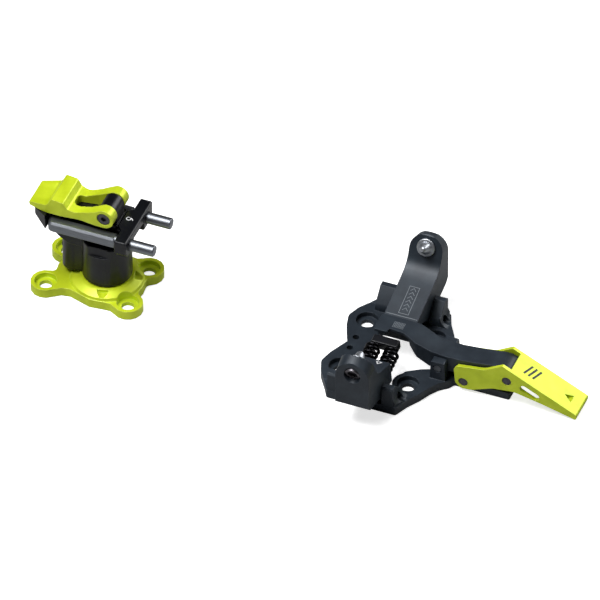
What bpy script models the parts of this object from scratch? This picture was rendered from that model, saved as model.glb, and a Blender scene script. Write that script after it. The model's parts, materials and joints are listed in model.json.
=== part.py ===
"""Touring binding: a turning heel unit and a two-arm toe unit, as separate pieces.

Every size below is in millimetres, and the helpers turn them into metres.  +X runs
to the tip of the ski, +Y to its left edge and +Z up.  The origin is the heel turret's
axis at the top of the ski.
"""

import math

import bmesh
import bpy
from mathutils import Matrix, Vector

MM = 0.001

# Shared fits
GAP = 0.3             # between pieces that seat on each other
RUN = 0.25            # radial, between a pin and the hole it turns in
ROUND_STEPS = 24      # sides of a small round piece
WIDE_STEPS = 32       # sides of a large round piece

# Where the two units stand on the ski
TOE_X = 150.5         # heel turret axis to the middle of the toe arms' axles

# Heel base
HEEL_HOLE_FRONT = 16.85
HEEL_HOLE_REAR = -27.65
HEEL_HOLE_Y = 14.0
HEEL_LOBE_R = 7.8
HEEL_PLATE_T = 5.0
SCREW_HOLE_R = 3.2
SCREW_SINK_R = 5.7
SCREW_SINK_FLOOR = 2.2
COLLAR_R = 19.5
COLLAR_TOP_R = 13.2
COLLAR_TOP_Z = 8.5
DIMPLE_R = 3.5
DIMPLE_TURN = 13     # degrees from +X to the first of the collar's four dimples
BASE_FLOOR = 2.0
SPINDLE_FOOT_R = 9.0
SPINDLE_FOOT_T = 2.3
SPINDLE_R = 3.2

# Heel housing
TOWER_R = 12.7
TOWER_TOP = 33.0
REAR_LOBE_X = -18.0
REAR_LOBE_R = 5.75
BODY_HALF_Y = 7.2
BODY_TOP = 44.6
BODY_FRONT = 10.4
BODY_REAR = -36.0
SHOULDER_Z = 28.4
HEAD_BORE_R = 5.4
CHAMBER_R = 3.4
CHAMBER_Z = 22.0
CAP_T = 1.7
CAP_SCREWS_X = (-17.5, -10.5)
CAP_SCREW_HOLE_R = 1.7
MAGNET_X = -24.0
MAGNET_R = 2.5

# Release fork and its plate
FORK_PIN_R = 3.0
FORK_PIN_Y = 11.2
FORK_PIN_Z = 41.0
FORK_PIN_TIP = 30.5
FORK_OUTER_Y = 14.0
FORK_INNER_Y = 8.0
FORK_LOW = 37.7
FORK_HIGH = 44.0
FORK_REAR = -27.0
FORK_CROSS_T = 6.0
FORK_PIN_HOLE_R = 1.8
FORK_PIN_FOOT = 34.0
PLATE_REAR = 11.0
PLATE_FRONT = 17.5
PLATE_HALF_Y = 18.0
PLATE_TOP = 46.7
STEM_REAR = 8.8
STEM_HALF_Y = 6.0

# Heel flap
FLAP_AXIS_X = 2.5
FLAP_AXIS_Z = 52.3
FLAP_HALF_Y = 10.5
FLAP_EAR_R = 5.4
FLAP_SLOT_Y = 5.0
FLAP_SLOT_REAR = -16.4
FLAP_TAIL_X = -39.0
FLAP_AXLE_R = 2.0
FLAP_SINK_R = 3.6
FLAP_SINK_T = 2.2

# Toe base
TOE_HOLE_FRONT = 19.0
TOE_HOLE_REAR = -17.5
TOE_HOLE_Y = 18.5
TOE_LOBE_R = 8.0
TOE_PLATE_T = 5.0
TOE_HALF_Y = 38.0
EAR_TOP = 16.0
EAR_FLAT = 4.0
EAR_FRONT = 18.3
EAR_REAR = -16.6
EAR_FILLET_R = 6.0
WINDOW_REAR = -7.8
WINDOW_HALF_Y = 26.0
SMALL_HOLE_X = -17.8
SMALL_HOLE_Y = 4.2
SMALL_HOLE_R = 1.75
TONGUE_HALF_Y = 6.0
TONGUE_TIP = 68.4
TONGUE_T = 4.3

# Toe arms
ARM_REAR = -5.8
ARM_FRONT = 12.0
ARM_SIDE_GAP = 0.5
ARM_AXIS_Y = 31.0
ARM_AXIS_Z = 7.0
ARM_BARREL_R = 4.0
ARM_AXLE_R = 2.0
ARM_TOP = 43.8
ARM_OUTER_Y = 54.0
ARM_HEAD_R = 8.4
PIN_TILT = 22.0       # degrees; the pins lie level once the arms have closed by this much
PIN_FACE_Y = 46.3     # where the pin's axis meets the arm's inner face
PIN_FACE_Z = ARM_TOP - 6.6
PIN_FACE_REACH = 5.7   # how far the face that the pin stands on goes above and below it
PIN_SHANK_R = 2.6
PIN_FLANGE_R = 4.8
PIN_REACH = 5.8
PIN_RING_R = 4.1
PIN_SEAT_DEPTH = 5.2  # along the pin, from the inner face to the ring's seat

# Toe springs
SPRING_X = 2.0
SPRING_STEP = 10.0
SPRING_MEAN_R = 3.4
SPRING_WIRE_R = 0.9
SPRING_TURNS = 5.0
SPRING_SEAT_Y = -22.6
SPRING_SEAT_Z = 12.0
SPRING_TILT = 10.0    # degrees, rising inwards
SPRING_LENGTH = 14.2
ROD_R = 1.5
BLOCK_T = 5.2

# Rocker bar and lever
ROCKER_X = 31.3
ROCKER_Z = 12.0
ROCKER_PIN_R = 2.0
ROCKER_EAR_TOP = 16.2
ROCKER_EAR_Y = 10.4
BAR_HALF_Y = 5.9
HUB_TOP = 20.0
HUB_BOTTOM = 18.2
LEVER_X = 44.4
LEVER_Z = 5.8
LEVER_HALF_Y = 8.2
LEVER_WALL = 1.9
LEVER_TIP = 105.2
LEVER_TIP_Z = 3.4
LEVER_PIN_R = 2.25
CAM_X = 67.6
CAM_Z = 13.9
LEVER_SWING = 15.0    # degrees
ROCKER_SHARE = 0.35   # of the lever's turn

COLOURS = {
    "lime": ((0.52, 0.72, 0.04), 0.32, 0.75),
    "anthracite": ((0.048, 0.06, 0.07), 0.42, 0.7),
    "black": ((0.012, 0.012, 0.016), 0.4, 0.4),
    "steel": ((0.36, 0.38, 0.41), 0.32, 1.0),
    "bright_steel": ((0.62, 0.64, 0.68), 0.22, 1.0),
    "dark_steel": ((0.08, 0.08, 0.09), 0.35, 1.0),
    "spring_steel": ((0.02, 0.02, 0.022), 0.3, 0.9),
    "polymer": ((0.7, 0.68, 0.6), 0.5, 0.0),
    "magnet": ((0.5, 0.5, 0.52), 0.25, 1.0),
}

# Columns take a drawing's (across, up, through) to the world's axes
AXES = {
    "X": Matrix(((0, 0, 1), (1, 0, 0), (0, 1, 0))),
    "Y": Matrix(((1, 0, 0), (0, 0, -1), (0, 1, 0))),
    "Z": Matrix.Identity(3),
}
ALONG = {"X": Vector((1, 0, 0)), "Y": Vector((0, 1, 0)), "Z": Vector((0, 0, 1))}


# ---------------------------------------------------------------- helpers

def clear_scene():
    for item in list(bpy.data.objects):
        bpy.data.objects.remove(item, do_unlink=True)


def scratch(name, mesh):
    item = bpy.data.objects.new(name, mesh)
    bpy.context.scene.collection.objects.link(item)
    return item


def bake(item):
    """Replace an object's mesh with the mesh its modifiers make."""
    graph = bpy.context.evaluated_depsgraph_get()
    mesh = bpy.data.meshes.new_from_object(item.evaluated_get(graph))
    item.modifiers.clear()
    item.data = mesh


def weld(mesh, flatten=False):
    """Close a mesh's loose seams, and join the triangles of its flat faces."""
    work = bmesh.new()
    work.from_mesh(mesh)
    bmesh.ops.remove_doubles(work, verts=work.verts, dist=1e-6)
    if flatten:
        bmesh.ops.dissolve_limit(
            work, angle_limit=math.radians(0.5), verts=work.verts, edges=work.edges)
    bmesh.ops.recalc_face_normals(work, faces=work.faces)
    work.to_mesh(mesh)
    work.free()
    mesh.update()
    mesh.update_tag()


def prism(points, low, high, axis="Z", name="prism"):
    """A flat outline, thickened from low to high along an axis."""
    curve = bpy.data.curves.new(name, "CURVE")
    curve.dimensions = "2D"
    curve.fill_mode = "BOTH"
    curve.extrude = (high - low) / 2 * MM
    spline = curve.splines.new("POLY")
    spline.points.add(len(points) - 1)
    for spot, (across, up) in zip(spline.points, points):
        spot.co = (across * MM, up * MM, 0, 1)
    spline.use_cyclic_u = True
    holder = scratch(name, curve)
    graph = bpy.context.evaluated_depsgraph_get()
    mesh = bpy.data.meshes.new_from_object(holder.evaluated_get(graph))
    bpy.data.objects.remove(holder)
    weld(mesh, flatten=True)
    mesh.transform(AXES[axis].to_4x4())
    mesh.transform(Matrix.Translation(ALONG[axis] * ((low + high) / 2 * MM)))
    return scratch(name, mesh)


def rod(radius, low, high, centre, axis="Z", steps=ROUND_STEPS, name="rod"):
    """A round bar from low to high along an axis, through the other two coordinates."""
    mesh = bpy.data.meshes.new(name)
    work = bmesh.new()
    bmesh.ops.create_cone(
        work, cap_ends=True, segments=steps,
        radius1=radius * MM, radius2=radius * MM, depth=(high - low) * MM)
    work.to_mesh(mesh)
    work.free()
    mesh.transform(AXES[axis].to_4x4())
    others = [letter for letter in "XYZ" if letter != axis]
    place = ALONG[axis] * ((low + high) / 2)
    place = place + ALONG[others[0]] * centre[0] + ALONG[others[1]] * centre[1]
    mesh.transform(Matrix.Translation(place * MM))
    return scratch(name, mesh)


def block(low, high, name="block"):
    mesh = bpy.data.meshes.new(name)
    work = bmesh.new()
    bmesh.ops.create_cube(work, size=1.0)
    work.to_mesh(mesh)
    work.free()
    low, high = Vector(low), Vector(high)
    size = (high - low) * MM
    mesh.transform(Matrix.Diagonal((size.x, size.y, size.z, 1.0)))
    mesh.transform(Matrix.Translation((low + high) / 2 * MM))
    return scratch(name, mesh)


def turned(profile, steps=ROUND_STEPS, name="turned"):
    """A profile of (radius, height), top to bottom, turned about Z."""
    mesh = bpy.data.meshes.new(name)
    spots = [(radius * MM, 0.0, height * MM) for radius, height in profile]
    mesh.from_pydata(spots, [(i, i + 1) for i in range(len(spots) - 1)], [])
    item = scratch(name, mesh)
    screw = item.modifiers.new("turn", "SCREW")
    screw.steps = steps
    screw.render_steps = steps
    screw.use_merge_vertices = True
    screw.merge_threshold = 1e-6
    bake(item)
    weld(item.data)
    return item


def combine(item, tool, operation):
    step = item.modifiers.new(operation.lower(), "BOOLEAN")
    step.operation = operation
    step.solver = "EXACT"
    step.object = tool
    bake(item)
    bpy.data.objects.remove(tool)
    return item


def cut(item, *tools):
    for tool in tools:
        combine(item, tool, "DIFFERENCE")
    return item


def join(item, *tools):
    for tool in tools:
        combine(item, tool, "UNION")
    return item


def keep(item, tool):
    return combine(item, tool, "INTERSECT")


def soften(item, width, segments=1, angle=40.0):
    step = item.modifiers.new("edges", "BEVEL")
    step.width = width * MM
    step.segments = segments
    step.limit_method = "ANGLE"
    step.angle_limit = math.radians(angle)
    bake(item)
    return item


def turn(item, degrees, axis, centre=(0, 0, 0)):
    """Turn a mesh about an axis through a point."""
    spot = Vector(centre) * MM
    spin = Matrix.Rotation(math.radians(degrees), 4, axis)
    item.data.transform(Matrix.Translation(spot) @ spin @ Matrix.Translation(-spot))
    item.data.update_tag()
    return item


def shift(item, x=0.0, y=0.0, z=0.0):
    item.data.transform(Matrix.Translation(Vector((x, y, z)) * MM))
    item.data.update_tag()
    return item


def arc(centre, radius, start, end, steps):
    """Points from one angle to another, in degrees."""
    spots = []
    for i in range(steps + 1):
        angle = math.radians(start + (end - start) * i / steps)
        spots.append((centre[0] + radius * math.cos(angle), centre[1] + radius * math.sin(angle)))
    return spots


def rounded(corners, steps=4):
    """An outline whose corners are (across, up) or (across, up, radius)."""
    spots = []
    count = len(corners)
    for i, corner in enumerate(corners):
        here = Vector(corner[:2])
        radius = corner[2] if len(corner) > 2 else 0.0
        if radius == 0.0:
            spots.append(tuple(here))
            continue
        back = (Vector(corners[i - 1][:2]) - here).normalized()
        ahead = (Vector(corners[(i + 1) % count][:2]) - here).normalized()
        half = back.angle(ahead) / 2
        reach = radius / math.tan(half)
        centre = here + (back + ahead).normalized() * (radius / math.sin(half))
        first = here + back * reach - centre
        last = here + ahead * reach - centre
        sweep = first.angle_signed(last)
        for k in range(steps + 1):
            turned_by = Matrix.Rotation(-sweep * k / steps, 2)
            spots.append(tuple(centre + turned_by @ first))
    return spots


def both_sides(half):
    """A half outline at +Y and its mirror, as one outline."""
    mirrored = [(corner[0], -corner[1]) + tuple(corner[2:]) for corner in reversed(half)]
    return list(half) + [corner for corner in mirrored if abs(corner[1]) > 1e-9]


def blended_circles(circles, fillets, step=15.0):
    """An outline round circles (x, y, r), counter-clockwise, with a hollow fillet after each."""
    count = len(circles)
    centres = []
    for i in range(count):
        x1, y1, r1 = circles[i]
        x2, y2, r2 = circles[(i + 1) % count]
        hollow = fillets[i]
        line = Vector((x2 - x1, y2 - y1))
        gap = line.length
        line.normalize()
        near, far = r1 + hollow, r2 + hollow
        along = (near * near - far * far + gap * gap) / (2 * gap)
        aside = math.sqrt(near * near - along * along)
        right = Vector((line.y, -line.x))
        centres.append(Vector((x1, y1)) + line * along + right * aside)
    spots = []
    for i in range(count):
        x, y, radius = circles[i]
        before = centres[i - 1] - Vector((x, y))
        after = centres[i] - Vector((x, y))
        start = math.degrees(math.atan2(before.y, before.x))
        end = math.degrees(math.atan2(after.y, after.x))
        while end < start:
            end += 360.0
        spots += arc((x, y), radius, start, end, max(2, round((end - start) / step)))
        x2, y2, _ = circles[(i + 1) % count]
        first = Vector((x, y)) - centres[i]
        last = Vector((x2, y2)) - centres[i]
        start = math.degrees(math.atan2(first.y, first.x))
        end = math.degrees(math.atan2(last.y, last.x))
        while end > start:
            end -= 360.0
        hollow = arc(centres[i], fillets[i], start, end, max(2, round((start - end) / step)))
        spots += hollow[1:-1]
    return spots


def hex_hole(across, low, high, centre, axis):
    return rod(across / math.sqrt(3), low, high, centre, axis, steps=6)


def helix(radius, wire, turns, length, name="coil", per_turn=10):
    """A coil along +Z from 0 to length, as a closed wire."""
    curve = bpy.data.curves.new(name, "CURVE")
    curve.dimensions = "3D"
    curve.bevel_depth = wire * MM
    curve.bevel_resolution = 2
    curve.use_fill_caps = True
    spline = curve.splines.new("POLY")
    count = int(turns * per_turn) + 1
    spline.points.add(count - 1)
    climb = length - 2 * wire
    for i, spot in enumerate(spline.points):
        share = i / (count - 1)
        angle = share * turns * math.tau
        height = wire + climb * share
        spot.co = (radius * math.cos(angle) * MM, radius * math.sin(angle) * MM, height * MM, 1)
    holder = scratch(name, curve)
    graph = bpy.context.evaluated_depsgraph_get()
    mesh = bpy.data.meshes.new_from_object(holder.evaluated_get(graph))
    bpy.data.objects.remove(holder)
    weld(mesh)
    return scratch(name, mesh)


def material(name):
    colour, roughness, metallic = COLOURS[name]
    made = bpy.data.materials.new(name)
    made.use_nodes = True
    made.diffuse_color = (*colour, 1.0)
    shader = made.node_tree.nodes["Principled BSDF"]
    shader.inputs["Base Color"].default_value = (*colour, 1.0)
    shader.inputs["Roughness"].default_value = roughness
    shader.inputs["Metallic"].default_value = metallic
    return made


def finish(item, name, colour, unit, origin=(0, 0, 0)):
    """Name a piece, put its origin on its joint and hang it on its unit."""
    spot = Vector(origin) * MM
    item.data.transform(Matrix.Translation(-spot))
    item.location = spot
    item.name = name
    item.data.name = name
    item.data.materials.clear()
    item.data.materials.append(materials[colour])
    item.data.shade_smooth()
    item.data.set_sharp_from_angle(angle=math.radians(35))
    item.parent = unit
    bpy.context.scene.collection.objects.unlink(item)
    pieces.objects.link(item)
    return item


# ---------------------------------------------------------------- heel unit

def heel_base(unit):
    holes = [
        (HEEL_HOLE_FRONT, -HEEL_HOLE_Y), (HEEL_HOLE_FRONT, HEEL_HOLE_Y),
        (HEEL_HOLE_REAR, HEEL_HOLE_Y), (HEEL_HOLE_REAR, -HEEL_HOLE_Y)]
    lobes = [(x, y, HEEL_LOBE_R) for x, y in holes]
    ring = (0.0, 0.0, COLLAR_R)
    rear = (REAR_LOBE_X + 1.0, 0.0, REAR_LOBE_R + 3.75)
    circles = [lobes[0], ring, lobes[1], ring, lobes[2], rear, lobes[3], ring]
    fillets = [2.5, 2.5, 6.0, 10.0, 2.5, 2.5, 10.0, 6.0]
    plate = prism(blended_circles(circles, fillets, 24.0), 0.0, HEEL_PLATE_T)
    collar = turned([
        (0.0, COLLAR_TOP_Z), (COLLAR_TOP_R, COLLAR_TOP_Z),
        (COLLAR_TOP_R + 1.7, COLLAR_TOP_Z - 0.5), (COLLAR_R - 1.2, COLLAR_TOP_Z - 2.1),
        (COLLAR_R - 0.2, HEEL_PLATE_T - 0.6), (COLLAR_R - 0.2, 1.0), (0.0, 1.0)], WIDE_STEPS)
    join(plate, collar)
    for x, y in holes:
        cut(plate, rod(SCREW_HOLE_R, -1.0, 9.0, (x, y)))
        cut(plate, rod(SCREW_SINK_R, SCREW_SINK_FLOOR, 12.0, (x, y), steps=28))
    for angle in range(DIMPLE_TURN, 360, 90):
        dimple_z = COLLAR_TOP_Z + 1.3
        groove = rod(DIMPLE_R, COLLAR_TOP_R + 0.6, COLLAR_R + 2.0, (0.0, dimple_z), "X")
        cut(plate, turn(groove, angle, "Z"))
    cut(plate, rod(SPINDLE_FOOT_R + GAP, BASE_FLOOR, 12.0, (0, 0), steps=WIDE_STEPS))
    finish(plate, "heel_base", "lime", unit)


def heel_spindle(unit):
    foot_low = BASE_FLOOR + GAP
    foot_high = foot_low + SPINDLE_FOOT_T
    top = SHOULDER_Z + GAP
    post = turned([
        (0.0, top), (SPINDLE_R, top), (SPINDLE_R, foot_high),
        (SPINDLE_FOOT_R, foot_high), (SPINDLE_FOOT_R, foot_low), (0.0, foot_low)])
    cut(post, rod(1.7, top - 9.0, top + 1.0, (0, 0)))
    finish(post, "heel_spindle", "steel", unit)

    bush_low = foot_high + GAP
    bush = turned([
        (SPINDLE_R + GAP, COLLAR_TOP_Z), (SPINDLE_FOOT_R, COLLAR_TOP_Z),
        (SPINDLE_FOOT_R, bush_low), (SPINDLE_R + GAP, bush_low),
        (SPINDLE_R + GAP, COLLAR_TOP_Z)])
    finish(bush, "turret_bush", "polymer", unit)

    head_low = top + GAP
    bolt = turned([
        (0.0, head_low + 2.6), (HEAD_BORE_R - 0.5, head_low + 2.6),
        (HEAD_BORE_R - 0.5, head_low), (1.4, head_low), (1.4, top - 8.0), (0.0, top - 8.0)])
    cut(bolt, hex_hole(3.0, head_low + 1.0, head_low + 4.0, (0, 0), "Z"))
    finish(bolt, "spindle_bolt", "dark_steel", unit)


def heel_housing(unit):
    low = COLLAR_TOP_Z + GAP
    tower = rod(TOWER_R, low, TOWER_TOP, (0, 0), steps=48)
    soften(tower, 0.6)
    for side in (-1, 1):
        face = TOWER_R - 1.3
        near, far = sorted((side * face, side * (TOWER_R + 2)))
        cut(tower, block((-TOWER_R, near, TOWER_TOP - 5.5), (TOWER_R, far, TOWER_TOP + 2)))
    lobe = rod(REAR_LOBE_R, low, SHOULDER_Z + 4, (REAR_LOBE_X, 0), steps=32)
    web = block((REAR_LOBE_X, -REAR_LOBE_R + 0.6, low), (0.0, REAR_LOBE_R - 0.6, TOWER_TOP - 1))
    side = rounded([
        (BODY_REAR, BODY_TOP), (BODY_REAR, BODY_TOP - 2.2, 1.0), (-27.0, 34.3),
        (REAR_LOBE_X - REAR_LOBE_R + 0.2, 31.0), (REAR_LOBE_X, SHOULDER_Z - 1),
        (BODY_FRONT - 1.5, SHOULDER_Z - 1), (BODY_FRONT, TOWER_TOP + 2), (BODY_FRONT, BODY_TOP)])
    body = prism(side, -BODY_HALF_Y, BODY_HALF_Y, "Y")
    tail_front = FORK_REAR - 1.0
    tail_plan = rounded([
        (BODY_REAR, -8.0, 2.5), (tail_front, -13.0), (tail_front, 13.0),
        (BODY_REAR, 8.0, 2.5)])
    tail_top = BODY_TOP + GAP + CAP_T
    tail_side = [
        (BODY_REAR, tail_top), (BODY_REAR, BODY_TOP - 1.8), (tail_front, FORK_LOW + 0.6),
        (tail_front, BODY_TOP), (tail_front - GAP, BODY_TOP), (tail_front - GAP, tail_top)]
    tail = keep(prism(tail_plan, 30.0, tail_top + 1), prism(tail_side, -20, 20, "Y"))
    join(tower, lobe, web, body, tail)
    slot = block(
        (FORK_REAR - GAP, -20, FORK_LOW - GAP),
        (FORK_REAR + FORK_CROSS_T + GAP, 20, BODY_TOP + 2))
    cut(tower, slot)
    cut(tower, rod(SPINDLE_R + GAP, low - 1, SHOULDER_Z + 1, (0, 0)))
    cut(tower, rod(HEAD_BORE_R, SHOULDER_Z, BODY_TOP + 1, (0, 0)))
    cut(tower, rod(CHAMBER_R, REAR_LOBE_X - REAR_LOBE_R - 1, -2.0, (0, CHAMBER_Z), "X"))
    fork_pin_x = FORK_REAR + FORK_CROSS_T / 2
    cut(tower, rod(FORK_PIN_HOLE_R, FORK_PIN_FOOT, FORK_LOW + 2, (fork_pin_x, 0), steps=16))
    for x in CAP_SCREWS_X:
        cut(tower, rod(CAP_SCREW_HOLE_R, BODY_TOP - 8, BODY_TOP + 1, (x, 0), steps=16))
    finish(tower, "heel_housing", "black", unit)


def housing_cap(unit):
    low = BODY_TOP + GAP
    high = low + CAP_T
    boss_half = FLAP_SLOT_Y - GAP
    plate = prism(rounded([
        (FORK_REAR - 1.0, -BODY_HALF_Y), (FLAP_AXIS_X + 5.7, -BODY_HALF_Y, 1.0),
        (FLAP_AXIS_X + 5.7, BODY_HALF_Y, 1.0), (FORK_REAR - 1.0, BODY_HALF_Y)]), low, high)
    boss_r = FLAP_EAR_R - GAP
    boss_side = [(FLAP_AXIS_X - 8.0, low + 0.4)]
    boss_side += [(FLAP_AXIS_X + boss_r, low + 0.4)]
    boss_side += arc((FLAP_AXIS_X, FLAP_AXIS_Z), boss_r, 0, 150, 12)
    join(plate, prism(boss_side, -boss_half, boss_half, "Y"))
    cut(plate, rod(FLAP_AXLE_R + RUN, -20, 20, (FLAP_AXIS_X, FLAP_AXIS_Z), "Y"))
    for x in CAP_SCREWS_X:
        cut(plate, rod(CAP_SCREW_HOLE_R, low - 1, high + 1, (x, 0), steps=16))
    cut(plate, rod(MAGNET_R + GAP, high - 1.2, high + 1, (MAGNET_X, 0)))
    finish(plate, "housing_cap", "black", unit)

    disc = rod(MAGNET_R, high - 1.2 + GAP, high, (MAGNET_X, 0))
    finish(disc, "housing_magnet", "magnet", unit)

    for place, x in zip(("rear", "front"), CAP_SCREWS_X):
        screw = turned([
            (0.0, high + 0.1), (CAP_SCREW_HOLE_R - GAP, high + 0.1),
            (CAP_SCREW_HOLE_R - GAP, BODY_TOP - 7), (0.0, BODY_TOP - 7)], 16)
        shift(screw, x)
        cut(screw, hex_hole(1.5, high - 1.2, high + 1, (x, 0), "Z"))
        finish(screw, "cap_screw_" + place, "dark_steel", unit)


def release_fork(unit):
    half = [
        (FORK_REAR, 0.0), (FORK_REAR, FORK_OUTER_Y, 3.0), (PLATE_REAR - 1.0, FORK_OUTER_Y),
        (PLATE_REAR - 1.0, FORK_INNER_Y), (FORK_REAR + FORK_CROSS_T, FORK_INNER_Y, 1.0),
        (FORK_REAR + FORK_CROSS_T, 0.0)]
    outline = rounded(both_sides(half))
    fork = prism(outline, FORK_LOW, FORK_HIGH)
    soften(fork, 1.1)
    for side in (-1, 1):
        y = side * FORK_PIN_Y
        shank = rod(FORK_PIN_R, PLATE_REAR - 5, FORK_PIN_TIP, (y, FORK_PIN_Z), "X", steps=28)
        soften(shank, 0.4)
        join(fork, shank)
    pin_x = FORK_REAR + FORK_CROSS_T / 2
    cut(fork, rod(FORK_PIN_HOLE_R, 30, 50, (pin_x, 0), steps=16))
    finish(fork, "release_fork", "steel", unit)

    pin = rod(FORK_PIN_HOLE_R - GAP, FORK_PIN_FOOT + GAP, BODY_TOP - 0.1, (pin_x, 0), steps=16)
    finish(pin, "fork_pin", "dark_steel", unit)

    leg_in = FORK_PIN_Y - FORK_PIN_R - 1.4
    face = both_sides([
        (36.0, FORK_PIN_Y - 1.5), (36.0, PLATE_HALF_Y - 2.8),
        (39.5, PLATE_HALF_Y), (PLATE_TOP, PLATE_HALF_Y)])
    front = [(y, z) for z, y in face]
    middle = [(-leg_in, 35.0), (-leg_in, 41.8), (leg_in, 41.8), (leg_in, 35.0)]
    clip = prism(front, PLATE_REAR, PLATE_FRONT, "X")
    soften(clip, 0.6)
    cut(clip, prism(middle, PLATE_REAR - 1, PLATE_FRONT + 1, "X"))
    stem = prism(rounded([
        (STEM_REAR, -STEM_HALF_Y, 1.0), (PLATE_REAR + 1, -STEM_HALF_Y - 3), (PLATE_REAR + 1, STEM_HALF_Y + 3),
        (STEM_REAR, STEM_HALF_Y, 1.0)]), BODY_TOP + GAP, PLATE_TOP)
    join(clip, stem)
    for side in (-1, 1):
        hole = rod(FORK_PIN_R + RUN, 0, 40, (side * FORK_PIN_Y, FORK_PIN_Z), "X", steps=28)
        cut(clip, hole)
    finish(clip, "release_plate", "black", unit)


def heel_flap(unit):
    axis = (FLAP_AXIS_X, 0.0, FLAP_AXIS_Z)
    bottom = BODY_TOP + GAP + CAP_T + GAP
    side = rounded(arc((FLAP_AXIS_X, FLAP_AXIS_Z), FLAP_EAR_R, -90, 100, 16) + [
        (-6.0, 53.6, 7.0), (-13.4, 50.8, 5.0), (-17.2, 52.0, 2.0), (-19.6, 55.6, 1.2),
        (-25.8, 56.4, 1.4), (-28.2, 51.6, 2.5), (FLAP_TAIL_X, 49.6, 0.8),
        (FLAP_TAIL_X + 0.8, bottom + 0.6), (-31.0, bottom)])
    flap = prism(side, -FLAP_HALF_Y - 1, FLAP_HALF_Y + 1, "Y")
    plan = rounded(both_sides([
        (FLAP_AXIS_X + 8, FLAP_HALF_Y), (-2.0, FLAP_HALF_Y, 20.0), (-11.0, 9.3, 20.0),
        (-20.0, 10.3, 12.0), (-29.0, 10.3, 10.0), (FLAP_TAIL_X - 0.5, 8.2, 2.0)]))
    keep(flap, prism(plan, 40, 65))
    slot = rounded([
        (FLAP_AXIS_X + 9, -FLAP_SLOT_Y), (FLAP_AXIS_X + 9, FLAP_SLOT_Y),
        (-6.0, FLAP_SLOT_Y, 3.0), (FLAP_SLOT_REAR, 3.6, 2.5), (FLAP_SLOT_REAR, -3.6, 2.5),
        (-6.0, -FLAP_SLOT_Y, 3.0)])
    cut(flap, prism(slot, 40, 65))
    dish_r = 26.0
    dish_front = -29.0
    dish = rod(dish_r, FLAP_TAIL_X - 4, dish_front, (0.0, 49.6 + dish_r), "X", steps=96)
    cut(flap, turn(dish, 6.0, "Y", (dish_front, 0, 50.4)))
    cut(flap, rod(FLAP_AXLE_R + GAP, -20, 20, (FLAP_AXIS_X, FLAP_AXIS_Z), "Y"))
    sink = FLAP_HALF_Y - FLAP_SINK_T
    cut(flap, rod(FLAP_SINK_R, sink, 20, (FLAP_AXIS_X, FLAP_AXIS_Z), "Y"))
    cut(flap, rod(FLAP_SINK_R, -20, -sink, (FLAP_AXIS_X, FLAP_AXIS_Z), "Y"))
    cut(flap, rod(MAGNET_R + GAP, 40, bottom + 1.8, (MAGNET_X, 0)))
    finish(flap, "heel_flap", "lime", unit, axis)

    disc = rod(MAGNET_R, bottom, bottom + 1.5, (MAGNET_X, 0))
    finish(disc, "flap_magnet", "magnet", unit, axis)

    reach = sink - GAP
    axle = rod(FLAP_AXLE_R, -reach, reach, (FLAP_AXIS_X, FLAP_AXIS_Z), "Y")
    for side in (-1, 1):
        low, high = sorted((side * (reach - 4), side * (reach + 1)))
        cut(axle, rod(1.3, low, high, (FLAP_AXIS_X, FLAP_AXIS_Z), "Y", steps=16))
    finish(axle, "flap_axle", "steel", unit, axis)

    for name, side in (("left", 1), ("right", -1)):
        low, high = sorted((side * (sink + 0.1), side * (FLAP_HALF_Y - 0.2)))
        screw = rod(FLAP_SINK_R - 0.3, low, high, (FLAP_AXIS_X, FLAP_AXIS_Z), "Y")
        low, high = sorted((side * (reach - 3.5), side * (sink + 0.5)))
        join(screw, rod(1.0, low, high, (FLAP_AXIS_X, FLAP_AXIS_Z), "Y", steps=16))
        low, high = sorted((side * (FLAP_HALF_Y - 1.4), side * (FLAP_HALF_Y + 1)))
        cut(screw, hex_hole(2.6, low, high, (FLAP_AXIS_X, FLAP_AXIS_Z), "Y"))
        finish(screw, "flap_screw_" + name, "dark_steel", unit, axis)


def lateral_release(unit):
    mouth = REAR_LOBE_X - REAR_LOBE_R
    nose = -(SPINDLE_R + 0.5)
    head = nose - 7.5
    plunger = rod(CHAMBER_R - GAP, head, nose - 1.2, (0, CHAMBER_Z), "X")
    tip = rod(CHAMBER_R - 1.4, nose - 2.0, nose, (0, CHAMBER_Z), "X")
    join(plunger, tip)
    finish(plunger, "lateral_plunger", "steel", unit, (head, 0, CHAMBER_Z))

    screw_face = mouth + 4.2
    length = head - screw_face - 2 * GAP
    coil = helix(2.3, 0.6, 4.0, length, "lateral_spring", 8)
    turn(coil, 90, "Y")
    shift(coil, screw_face + GAP, 0, CHAMBER_Z)
    finish(coil, "lateral_spring", "spring_steel", unit)

    adjuster = rod(CHAMBER_R - GAP, mouth + 0.5, screw_face, (0, CHAMBER_Z), "X")
    cut(adjuster, hex_hole(3.0, mouth - 1, mouth + 2.6, (0, CHAMBER_Z), "X"))
    finish(adjuster, "lateral_adjuster", "dark_steel", unit)


# ---------------------------------------------------------------- toe unit

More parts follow.
